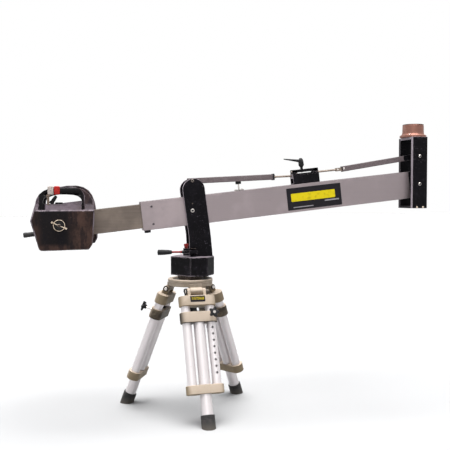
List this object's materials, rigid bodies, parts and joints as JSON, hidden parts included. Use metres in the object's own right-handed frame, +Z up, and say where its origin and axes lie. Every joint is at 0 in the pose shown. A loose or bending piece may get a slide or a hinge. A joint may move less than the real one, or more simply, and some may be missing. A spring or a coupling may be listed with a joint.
{
  "type": "camera jib crane",
  "caption": "Camera jib crane: a counterweighted boom on a panning mast and tripod, with a link that keeps the camera bowl level.",
  "frame": {"origin": "bottom centre of the bounding box, on the floor that the feet stand on", "axes": "+Z up, +X along the boom from the counterweights to the camera head, +Y across the boom, away from the side with the pan brake lever"},
  "size_m": [1.7678, 0.526, 1.222],
  "materials": {
    "boom_aluminium": "brushed, dull",
    "bar_aluminium": "mill finish, weathered",
    "link_paint": "grey satin paint",
    "worn_black": "black satin, worn bright at the edges",
    "black_plastic": "satin",
    "dusty_plastic": "rough, dusty",
    "bright_steel": "bright",
    "plated_steel": "dull plating",
    "red_plastic": "gloss",
    "copper_brown": "brown metallic, machined",
    "beige_casting": "painted casting",
    "brown_disc": "dark satin",
    "silver_tube": "bright anodised",
    "black_rubber": "matt"
  },
  "bodies": {
    "tripod": {"tripod_ring": "beige_casting", "levelling_ball": "brown_disc"},
    "tie_knob": {"tie_down_knob": "black_plastic"},
    "mast": {"pan_block": "worn_black", "mast_plate_near": "worn_black", "mast_plate_far": "worn_black", "boom_pivot_bolt_near": "bright_steel", "boom_pivot_bolt_far": "bright_steel", "link_pin_mast": "bright_steel", "pan_brake_hub": "worn_black"},
    "pan_lever": {"pan_brake_lever": "black_plastic"},
    "drag_knob": {"pan_drag_knob": "red_plastic"},
    "boom": {"boom_tube": "boom_aluminium", "boom_end_boss": "worn_black", "lock_bracket": "worn_black", "rest_post": "black_plastic"},
    "clamp_knob": {"tail_clamp_knob": "black_plastic"},
    "tail": {"tail_bar": "bar_aluminium", "tail_grip": "black_rubber", "balance_weight_near": "dusty_plastic", "balance_weight_far": "dusty_plastic", "weight_cross_bolt": "plated_steel"},
    "wing_nut": {"weight_wing_nut": "plated_steel"},
    "link": {"link_rear_tube": "link_paint", "link_rear_rod": "bright_steel", "link_lock_yoke": "worn_black", "link_front_rod": "bright_steel", "link_front_tube": "link_paint"},
    "lock_lever": {"link_lock_lever": "black_plastic"},
    "head": {"head_plate_near": "worn_black", "head_plate_far": "worn_black", "head_top_plate": "worn_black", "head_bottom_plate": "worn_black", "camera_bowl": "copper_brown", "head_axle": "bright_steel", "link_pin_head": "bright_steel"},
    "front_leg_frame": {"front_leg_hinge_casting": "beige_casting", "front_leg_plain_tube": "silver_tube", "front_leg_index_tube": "silver_tube", "front_leg_lower_casting": "beige_casting"},
    "front_leg_slider": {"front_leg_clamp_casting": "beige_casting", "front_leg_centre_tube": "silver_tube", "front_leg_foot": "black_rubber"},
    "front_star": {"front_leg_star_knob": "black_plastic"},
    "right_leg_frame": {"right_leg_hinge_casting": "beige_casting", "right_leg_plain_tube": "silver_tube", "right_leg_index_tube": "silver_tube", "right_leg_lower_casting": "beige_casting"},
    "right_leg_slider": {"right_leg_clamp_casting": "beige_casting", "right_leg_centre_tube": "silver_tube", "right_leg_foot": "black_rubber"},
    "right_star": {"right_leg_star_knob": "black_plastic"},
    "left_leg_frame": {"left_leg_hinge_casting": "beige_casting", "left_leg_plain_tube": "silver_tube", "left_leg_index_tube": "silver_tube", "left_leg_lower_casting": "beige_casting"},
    "left_leg_slider": {"left_leg_clamp_casting": "beige_casting", "left_leg_centre_tube": "silver_tube", "left_leg_foot": "black_rubber"},
    "left_star": {"left_leg_star_knob": "black_plastic"}
  },
  "joints": [
    {"name": "pan", "type": "hinge", "parent": "tripod", "child": "mast", "pos_m": [-0.20231, 0.0576, 0.575], "axis": [0, 0, 1], "continuous": true},
    {"name": "boom_tilt", "type": "hinge", "parent": "mast", "child": "boom", "pos_m": [-0.19881, 0.0576, 0.84], "axis": [0, -1, 0], "range_deg": [-38, 25.5]},
    {"name": "link_swing", "type": "hinge", "parent": "mast", "child": "link", "pos_m": [-0.19881, 0.0576, 0.9641], "axis": [0, -1, 0], "range_deg": [-38, 25.5]},
    {"name": "head_level", "type": "hinge", "parent": "boom", "child": "head", "pos_m": [0.82396, 0.0576, 0.95212], "axis": [0, -1, 0], "range_deg": [-25.5, 38]},
    {"name": "tail_slide", "type": "slide", "parent": "boom", "child": "tail", "axis": [0.994, 0, 0.109], "range_m": [-0.11, 0.15]},
    {"name": "clamp_knob_turn", "type": "hinge", "parent": "boom", "child": "clamp_knob", "pos_m": [-0.38313, 0.0576, 0.75943], "axis": [-0.109, 0, 0.994], "range_deg": [-180, 180]},
    {"name": "wing_nut_turn", "type": "hinge", "parent": "tail", "child": "wing_nut", "pos_m": [-0.74072, 0.0576, 0.78663], "axis": [0, 1, 0], "range_deg": [-180, 180]},
    {"name": "lock_lever_turn", "type": "hinge", "parent": "link", "child": "lock_lever", "pos_m": [0.29374, 0.0576, 1.01809], "axis": [-0.109, 0, 0.994], "range_deg": [-90, 90]},
    {"name": "pan_lever_turn", "type": "hinge", "parent": "mast", "child": "pan_lever", "pos_m": [-0.22881, -0.0004, 0.671], "axis": [0, 0, 1], "range_deg": [0, 40]},
    {"name": "drag_knob_turn", "type": "hinge", "parent": "mast", "child": "drag_knob", "pos_m": [-0.22881, -0.0004, 0.69], "axis": [0, 0, 1], "range_deg": [-180, 180]},
    {"name": "tie_knob_turn", "type": "hinge", "parent": "tripod", "child": "tie_knob", "pos_m": [-0.20231, 0.0576, 0.5], "axis": [0, 0, 1], "range_deg": [-180, 180]},
    {"name": "front_leg_fold", "type": "hinge", "parent": "tripod", "child": "front_leg_frame", "pos_m": [-0.19562, -0.03816, 0.509], "axis": [0.9976, 0.0698, 0], "range_deg": [0, 21]},
    {"name": "front_leg_slide", "type": "slide", "parent": "front_leg_frame", "child": "front_leg_slider", "axis": [0.025, -0.3575, -0.9336], "range_m": [-0.02, 0.24]},
    {"name": "front_star_turn", "type": "hinge", "parent": "front_leg_slider", "child": "front_star", "pos_m": [-0.13876, -0.12734, 0.43434], "axis": [0.0651, -0.9313, 0.3584], "range_deg": [-180, 180]},
    {"name": "right_leg_fold", "type": "hinge", "parent": "tripod", "child": "right_leg_frame", "pos_m": [-0.12273, 0.11129, 0.509], "axis": [-0.5592, 0.829, 0], "range_deg": [0, 21]},
    {"name": "right_leg_slide", "type": "slide", "parent": "right_leg_frame", "child": "right_leg_slider", "axis": [0.2971, 0.2004, -0.9336], "range_m": [-0.02, 0.24]},
    {"name": "right_star_turn", "type": "hinge", "parent": "right_leg_slider", "child": "right_star", "pos_m": [-0.07393, 0.20512, 0.43434], "axis": [0.774, 0.5221, 0.3584], "range_deg": [-180, 180]},
    {"name": "left_leg_fold", "type": "hinge", "parent": "tripod", "child": "left_leg_frame", "pos_m": [-0.2886, 0.09969, 0.509], "axis": [-0.4384, -0.8988, 0], "range_deg": [0, 21]},
    {"name": "left_leg_slide", "type": "slide", "parent": "left_leg_frame", "child": "left_leg_slider", "axis": [-0.3221, 0.1571, -0.9336], "range_m": [-0.02, 0.24]},
    {"name": "left_star_turn", "type": "hinge", "parent": "left_leg_slider", "child": "left_star", "pos_m": [-0.39426, 0.09503, 0.43434], "axis": [-0.8391, 0.4093, 0.3584], "range_deg": [-180, 180]}
  ],
  "couplings": [
    {"joint": "link_swing", "follows": "boom_tilt", "ratio": 1},
    {"joint": "head_level", "follows": "boom_tilt", "ratio": -1}
  ]
}
